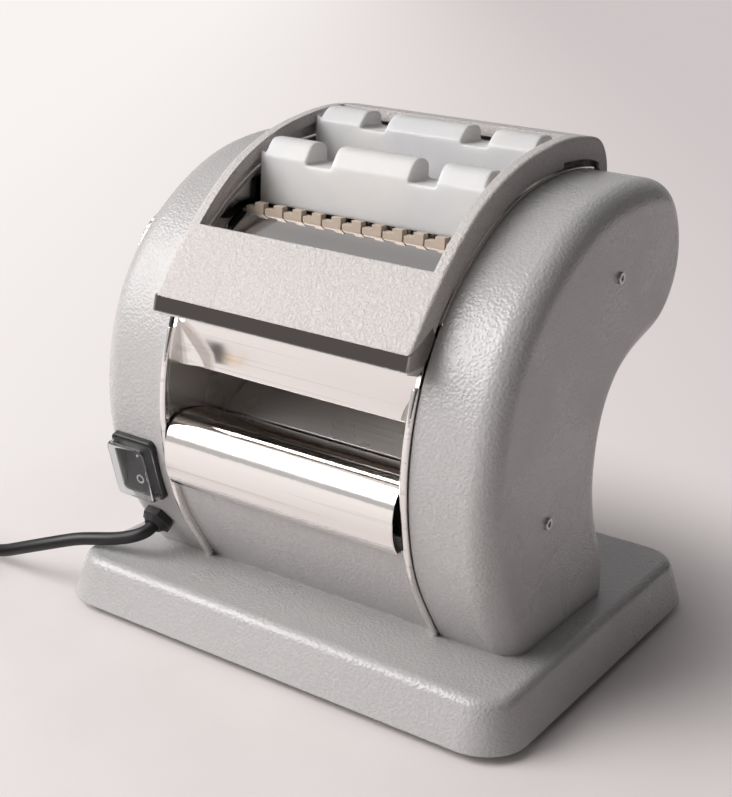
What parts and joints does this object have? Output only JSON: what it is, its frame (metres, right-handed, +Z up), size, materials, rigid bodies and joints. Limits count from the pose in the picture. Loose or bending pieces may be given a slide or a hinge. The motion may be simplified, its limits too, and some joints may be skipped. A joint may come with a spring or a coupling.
{
  "type": "electric countertop dough sheeter",
  "caption": "Motorised countertop dough sheeter and pasta cutter with a lifting hood, feed guards, geared rollers, thickness knob and a delivery apron.",
  "frame": {"origin": "middle of the base's outline, on the surface that the feet stand on", "axes": "+X to the machine's right, +Y to its back, +Z up"},
  "size_m": [0.4747, 0.339, 0.2891],
  "materials": {
    "hammered_paint": "hammered silver-grey paint",
    "textured_paint": "pale textured paint",
    "polished_steel": "polished stainless sheet",
    "plate_steel": "brushed plate",
    "gear_steel": "cut gear steel, oiled",
    "roller_chrome": "ground and plated rollers",
    "milky_plastic": "milky translucent plastic",
    "clear_plastic": "clear plastic",
    "cream_plastic": "cream food-grade plastic",
    "black_plastic": "black moulded plastic",
    "rocker_plastic": "black rocker with plain on and off marks",
    "black_rubber": "black rubber",
    "brass_metal": "bronze bushes and brass pins",
    "cast_aluminium": "cast aluminium",
    "screw_steel": "zinc-plated fasteners",
    "cord_rubber": "rubber-sheathed flexible cord",
    "capacitor_can": "moulded capacitor case"
  },
  "bodies": {
    "frame": {"base_shell": "hammered_paint", "base_plate": "plate_steel", "rubber_feet": "black_rubber", "base_screws": "screw_steel", "right_side_plate": "plate_steel", "left_side_plate": "plate_steel", "edge_trims": "polished_steel", "right_casing": "hammered_paint", "left_casing": "hammered_paint", "standoffs": "screw_steel", "casing_screws": "screw_steel", "tie_rods": "gear_steel", "front_panel": "hammered_paint", "rear_panel": "hammered_paint", "delivery_apron": "polished_steel", "delivery_slide": "plate_steel", "front_shroud": "polished_steel", "hinge_pins": "screw_steel", "side_guides": "clear_plastic", "feed_comb": "cream_plastic", "wide_combs": "cream_plastic", "narrow_combs": "cream_plastic", "roller_scrapers": "cream_plastic", "shaft_bushes": "brass_metal", "gear_plate": "plate_steel", "drive_belt": "black_rubber", "motor_body": "cast_aluminium", "run_capacitor": "capacitor_can", "switch_bezel": "black_plastic", "switch_cover": "clear_plastic", "cable_gland": "black_plastic", "mains_cord": "cord_rubber", "cord_coil": "cord_rubber", "coil_tie": "black_rubber", "plug_body": "black_plastic", "plug_pins": "brass_metal"},
    "lid": {"hood": "textured_paint", "hood_band": "polished_steel"},
    "front_feed_guard": {"front_guard": "milky_plastic"},
    "rear_feed_guard": {"rear_guard": "milky_plastic"},
    "carriage": {"roller_carriage": "plate_steel"},
    "front_roller": {"sheeting_roller_front": "roller_chrome", "sheeting_gear": "gear_steel"},
    "rear_roller": {"sheeting_roller_rear": "roller_chrome", "main_cluster_gear": "gear_steel"},
    "wide_front": {"wide_cutter_front": "roller_chrome", "wide_gear": "gear_steel"},
    "wide_rear": {"wide_cutter_rear": "roller_chrome", "wide_cluster_gear": "gear_steel"},
    "narrow_front": {"narrow_cutter_front": "roller_chrome", "narrow_cluster_gear": "gear_steel"},
    "narrow_rear": {"narrow_cutter_rear": "roller_chrome", "narrow_gear": "gear_steel"},
    "lay_shaft": {"pinion_shaft": "gear_steel", "driven_pulley": "cast_aluminium"},
    "motor_shaft": {"motor_rotor": "gear_steel", "motor_pulley": "cast_aluminium"},
    "setting_knob": {"adjusting_knob": "polished_steel", "cam_shaft": "gear_steel"},
    "power_rocker": {"switch_rocker": "rocker_plastic"}
  },
  "joints": [
    {"name": "hood_hinge", "type": "hinge", "parent": "frame", "child": "lid", "pos_m": [0, 0.08, 0.252], "axis": [-1, 0, 0], "range_deg": [0, 62]},
    {"name": "front_guard_lift", "type": "slide", "parent": "frame", "child": "front_feed_guard", "axis": [0, 0, 1], "range_m": [0, 0.06]},
    {"name": "rear_guard_lift", "type": "slide", "parent": "frame", "child": "rear_feed_guard", "axis": [0, 0, 1], "range_m": [0, 0.06]},
    {"name": "knob_turn", "type": "hinge", "parent": "frame", "child": "setting_knob", "pos_m": [0, -0.024, 0.193], "axis": [1, 0, 0], "range_deg": [0, 150]},
    {"name": "gap_slide", "type": "slide", "parent": "frame", "child": "carriage", "axis": [0, -1, 0], "range_m": [0, 0.0025]},
    {"name": "motor_spin", "type": "hinge", "parent": "frame", "child": "motor_shaft", "pos_m": [0, -0.018, 0.087], "axis": [1, 0, 0], "continuous": true},
    {"name": "lay_shaft_spin", "type": "hinge", "parent": "frame", "child": "lay_shaft", "pos_m": [0, -0.022, 0.16525], "axis": [1, 0, 0], "continuous": true},
    {"name": "rear_roller_spin", "type": "hinge", "parent": "frame", "child": "rear_roller", "pos_m": [0, 0.0054, 0.193], "axis": [1, 0, 0], "continuous": true},
    {"name": "front_roller_spin", "type": "hinge", "parent": "carriage", "child": "front_roller", "pos_m": [0, -0.024, 0.193], "axis": [1, 0, 0], "continuous": true},
    {"name": "wide_rear_spin", "type": "hinge", "parent": "frame", "child": "wide_rear", "pos_m": [0, -0.0315, 0.2213], "axis": [1, 0, 0], "continuous": true},
    {"name": "wide_front_spin", "type": "hinge", "parent": "frame", "child": "wide_front", "pos_m": [0, -0.0525, 0.2213], "axis": [1, 0, 0], "continuous": true},
    {"name": "narrow_front_spin", "type": "hinge", "parent": "frame", "child": "narrow_front", "pos_m": [0, 0.0335, 0.22815], "axis": [1, 0, 0], "continuous": true},
    {"name": "narrow_rear_spin", "type": "hinge", "parent": "frame", "child": "narrow_rear", "pos_m": [0, 0.0545, 0.22815], "axis": [1, 0, 0], "continuous": true},
    {"name": "power_switch", "type": "hinge", "parent": "frame", "child": "power_rocker", "pos_m": [-0.1032, -0.1019, 0.093], "axis": [1, 0, 0], "range_deg": [0, 14]}
  ],
  "couplings": [
    {"joint": "lay_shaft_spin", "follows": "motor_spin", "ratio": 0.2},
    {"joint": "rear_roller_spin", "follows": "motor_spin", "ratio": -0.06},
    {"joint": "front_roller_spin", "follows": "motor_spin", "ratio": 0.06},
    {"joint": "wide_rear_spin", "follows": "motor_spin", "ratio": 0.10909},
    {"joint": "wide_front_spin", "follows": "motor_spin", "ratio": -0.10909},
    {"joint": "narrow_front_spin", "follows": "motor_spin", "ratio": 0.12},
    {"joint": "narrow_rear_spin", "follows": "motor_spin", "ratio": -0.12},
    {"joint": "knob_turn", "follows": "gap_slide", "rad_per_m": 1047}
  ]
}
